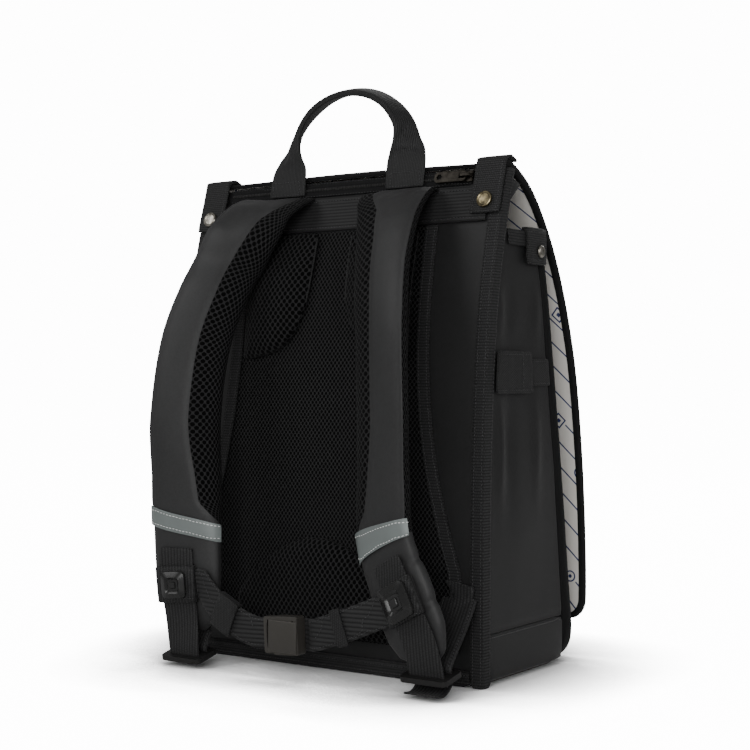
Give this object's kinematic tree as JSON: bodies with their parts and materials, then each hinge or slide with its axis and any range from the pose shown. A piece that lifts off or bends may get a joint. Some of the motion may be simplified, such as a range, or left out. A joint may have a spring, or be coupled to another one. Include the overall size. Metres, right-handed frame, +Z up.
{
  "type": "school back-pack",
  "caption": "Upright school back-pack with padded mesh back, curved shoulder straps, chest strap with side-release buckle, top handle and a long cover flap.",
  "frame": {"origin": "centre of the base panel where it stands on the floor", "axes": "+Z up, +Y from the shoulder straps towards the cover flap, +X to the right as seen from the strap side"},
  "size_m": [0.3102, 0.2389, 0.4658],
  "materials": {
    "dark_fabric": "plain weave, dark grey",
    "fabric": "satin coated polyester, dark grey",
    "flap": "coated polyester, light grey",
    "gunmetal": "dark gunmetal",
    "lining": "pale plain weave with thin navy pinstripes",
    "mesh": "open spacer mesh with small holes",
    "metal": "snap caps, polished",
    "plastic": "moulded, fine texture",
    "reflective": "silver grey reflective tape with stitched edges",
    "webbing": "ribbed woven webbing"
  },
  "bodies": {
    "bag": {"back_panel": "fabric", "side_left": "fabric", "side_right": "fabric", "base_panel": "fabric", "front_roll": "dark_fabric", "front_panel": "fabric", "back_tape_left": "webbing", "back_tape_right": "webbing", "base_tape": "webbing", "gusset_binding_left": "webbing", "gusset_binding_right": "webbing", "gusset_tab_left": "webbing", "gusset_snap_left": "metal", "gusset_tab_right": "webbing", "gusset_snap_right": "metal", "pocket_web_left": "webbing", "pocket_band_left": "webbing", "pocket_web_right": "webbing", "pocket_band_right": "webbing", "flap_outer": "flap", "flap_lining": "lining", "flap_binding": "webbing", "flap_clasp": "plastic", "corner_gusset_left": "dark_fabric", "corner_gusset_right": "dark_fabric", "centre_mesh": "mesh", "border_tape_left": "webbing", "upper_pad_left": "mesh", "border_tape_right": "webbing", "upper_pad_right": "mesh", "lumbar_pad": "mesh", "yoke": "webbing", "zip_tape": "webbing", "corner_tab_left": "webbing", "snap_left": "metal", "corner_tab_right": "webbing", "snap_right": "metal", "handle": "webbing", "zip_slider": "gunmetal", "shoulder_strap_left": "fabric", "shoulder_strap_right": "fabric", "reflective_left": "reflective", "reflective_right": "reflective", "ladder_lock_left": "plastic", "ladder_lock_right": "plastic", "strap_webbing_left": "webbing", "strap_webbing_right": "webbing", "sleeve_left": "webbing", "stud_left": "plastic", "sleeve_right": "webbing", "stud_right": "plastic", "anchor_left": "webbing", "anchor_right": "webbing", "chest_strap_left": "webbing", "keeper_left": "webbing", "chest_strap_right": "webbing", "keeper_right": "webbing", "buckle_latch": "plastic", "buckle_body": "plastic"},
    "zip_pull": {"zip_pull": "gunmetal"}
  },
  "joints": [
    {"name": "zip_pull_hinge", "type": "hinge", "parent": "bag", "child": "zip_pull", "pos_m": [0.115, -0.04663, 0.38344], "axis": [0, 0.2871, 0.9579], "range_deg": [0, 150]}
  ]
}
